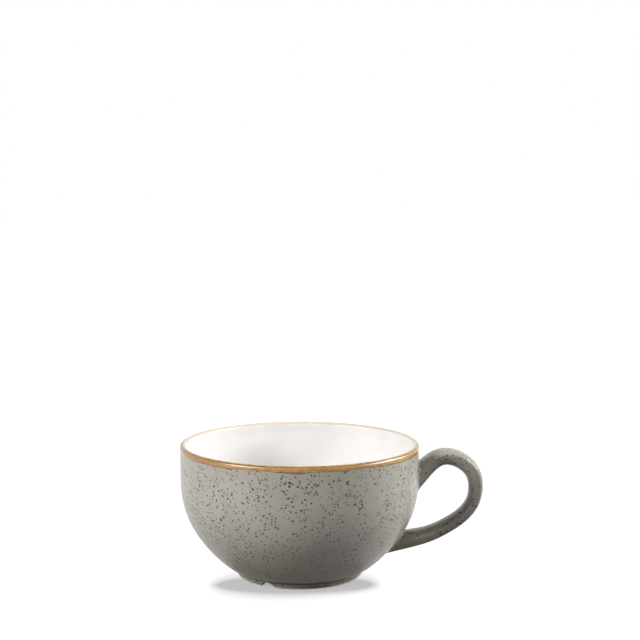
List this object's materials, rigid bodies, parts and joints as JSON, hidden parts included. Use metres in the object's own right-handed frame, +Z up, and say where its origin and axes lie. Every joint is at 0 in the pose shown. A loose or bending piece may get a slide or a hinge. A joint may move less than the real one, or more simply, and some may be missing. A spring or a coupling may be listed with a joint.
{
  "type": "cappuccino cup",
  "caption": "Wide low cappuccino cup: rounded bowl on a turned foot, ear handle with flared roots, speckled grey glaze, white lining, brown rim.",
  "frame": {"origin": "on the bowl's axis, on the plane that the foot stands on", "axes": "+Z up along the bowl's axis, +X from the axis to the handle, +Y completes the right-handed frame; the picture looks along +Y"},
  "size_m": [0.1421, 0.112, 0.0624],
  "materials": {
    "white_clay": "fired white stoneware body, hidden under the glaze",
    "foot_clay": "fired body, wiped bare and slightly rough where the cup stands",
    "slip": "fired joining slip, hidden",
    "speckled_glaze": "warm grey semi-gloss glaze with fine dark speckles in uneven clusters",
    "handle_glaze": "the same speckled grey glaze, glossier and with fewer speckles",
    "base_glaze": "the same grey glaze, smooth and plain",
    "white_glaze": "smooth glossy warm white glaze",
    "brown_band": "golden brown painted band, uneven by hand, semi-gloss"
  },
  "bodies": {
    "root": {"bowl_body": "white_clay", "foot_ring": "foot_clay", "handle_body": "white_clay", "upper_slip_joint": "slip", "lower_slip_joint": "slip", "outer_glaze": "speckled_glaze", "handle_glaze": "handle_glaze", "base_glaze": "base_glaze", "inner_glaze": "white_glaze", "rim_band": "brown_band"}
  },
  "joints": []
}
